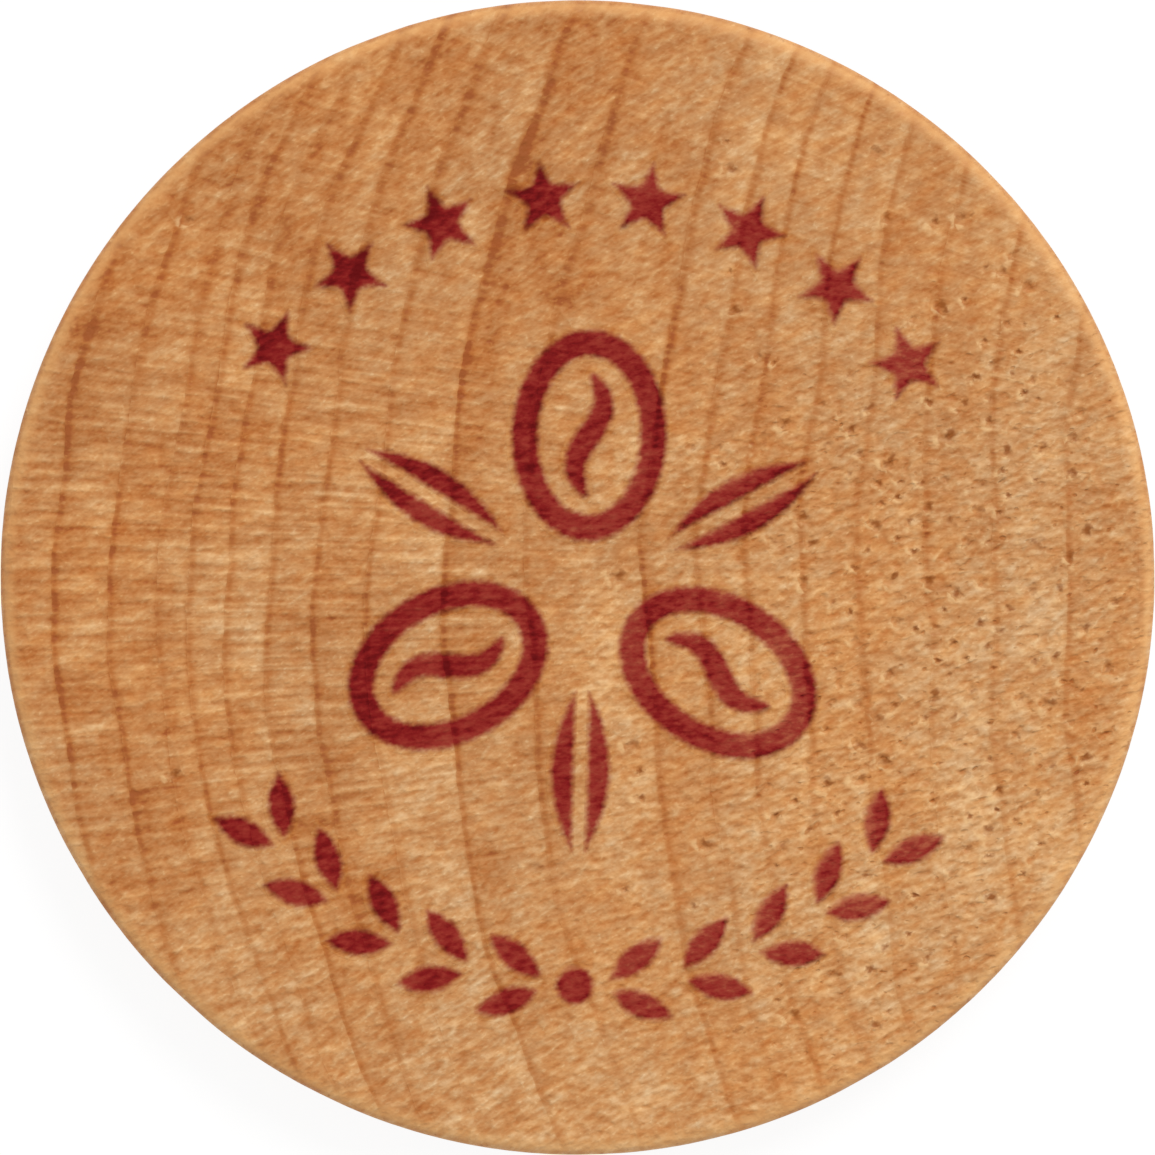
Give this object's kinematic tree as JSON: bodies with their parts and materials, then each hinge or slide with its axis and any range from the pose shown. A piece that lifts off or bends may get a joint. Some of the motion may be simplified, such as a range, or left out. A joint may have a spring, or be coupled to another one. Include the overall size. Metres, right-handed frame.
{
  "type": "wooden nickel",
  "caption": "Round flat wooden token with worn edges, printed on one face in red-brown ink with a star arc, a laurel and a bean rosette; used as a voucher or game counter.",
  "frame": {"origin": "middle of the bare back face, which the token lies on", "axes": "+Z out of the printed face, +Y to the top of the print, +X to its right"},
  "size_m": [0.0382, 0.0382, 0.0032],
  "materials": {
    "wood": "sanded fine-grained hardwood, thinly lacquered, growth rings and small pores on the face",
    "ink": "thin red-brown printing ink soaked into the grain, matt, with the wood showing through"
  },
  "bodies": {
    "root": {"wooden_disc": "wood", "ink_bean_1_crease": "ink", "ink_bean_1_outline": "ink", "ink_bean_2_crease": "ink", "ink_bean_2_outline": "ink", "ink_bean_3_crease": "ink", "ink_bean_3_outline": "ink", "ink_berry": "ink", "ink_laurel_left_inner_1": "ink", "ink_laurel_left_inner_2": "ink", "ink_laurel_left_inner_3": "ink", "ink_laurel_left_inner_4": "ink", "ink_laurel_left_inner_5": "ink", "ink_laurel_left_outer_1": "ink", "ink_laurel_left_outer_2": "ink", "ink_laurel_left_outer_3": "ink", "ink_laurel_left_outer_4": "ink", "ink_laurel_left_outer_5": "ink", "ink_laurel_right_inner_1": "ink", "ink_laurel_right_inner_2": "ink", "ink_laurel_right_inner_3": "ink", "ink_laurel_right_inner_4": "ink", "ink_laurel_right_inner_5": "ink", "ink_laurel_right_outer_1": "ink", "ink_laurel_right_outer_2": "ink", "ink_laurel_right_outer_3": "ink", "ink_laurel_right_outer_4": "ink", "ink_laurel_right_outer_5": "ink", "ink_sprig_1_left": "ink", "ink_sprig_1_right": "ink", "ink_sprig_2_left": "ink", "ink_sprig_2_right": "ink", "ink_sprig_3_left": "ink", "ink_sprig_3_right": "ink", "ink_star_1": "ink", "ink_star_2": "ink", "ink_star_3": "ink", "ink_star_4": "ink", "ink_star_5": "ink", "ink_star_6": "ink", "ink_star_7": "ink", "ink_star_8": "ink"}
  },
  "joints": []
}
